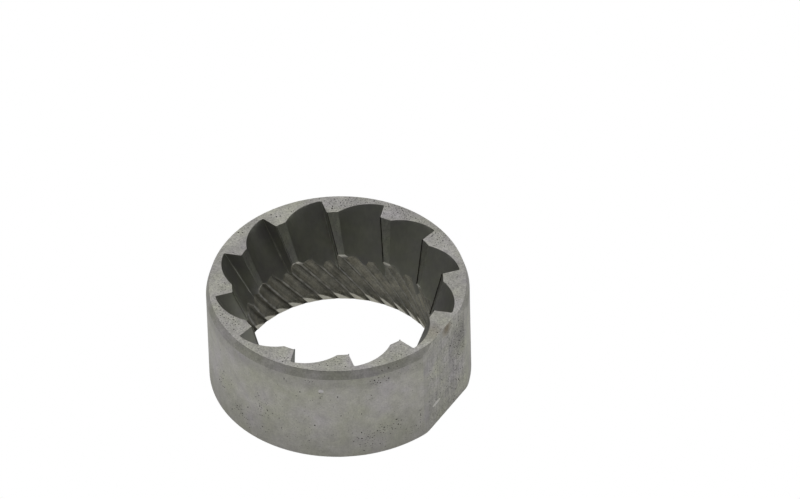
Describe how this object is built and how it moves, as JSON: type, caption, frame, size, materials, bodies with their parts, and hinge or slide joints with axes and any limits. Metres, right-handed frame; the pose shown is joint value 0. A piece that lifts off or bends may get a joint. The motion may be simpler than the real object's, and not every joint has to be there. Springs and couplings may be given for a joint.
{
  "type": "coffee grinder ring burr",
  "caption": "Steel ring burr for a conical coffee grinder: deep gullets break beans at the inlet, and helical teeth in the flared outlet grind them fine.",
  "frame": {"origin": "centre of the outer wall at the bottom face", "axes": "+Z along the ring's axis up to the inlet, +X out of the locating flat"},
  "size_m": [0.045, 0.046, 0.02],
  "materials": {
    "tool_steel": "sintered satin grey with fine pits"
  },
  "bodies": {
    "root": {"ring_burr": "tool_steel"}
  },
  "joints": []
}
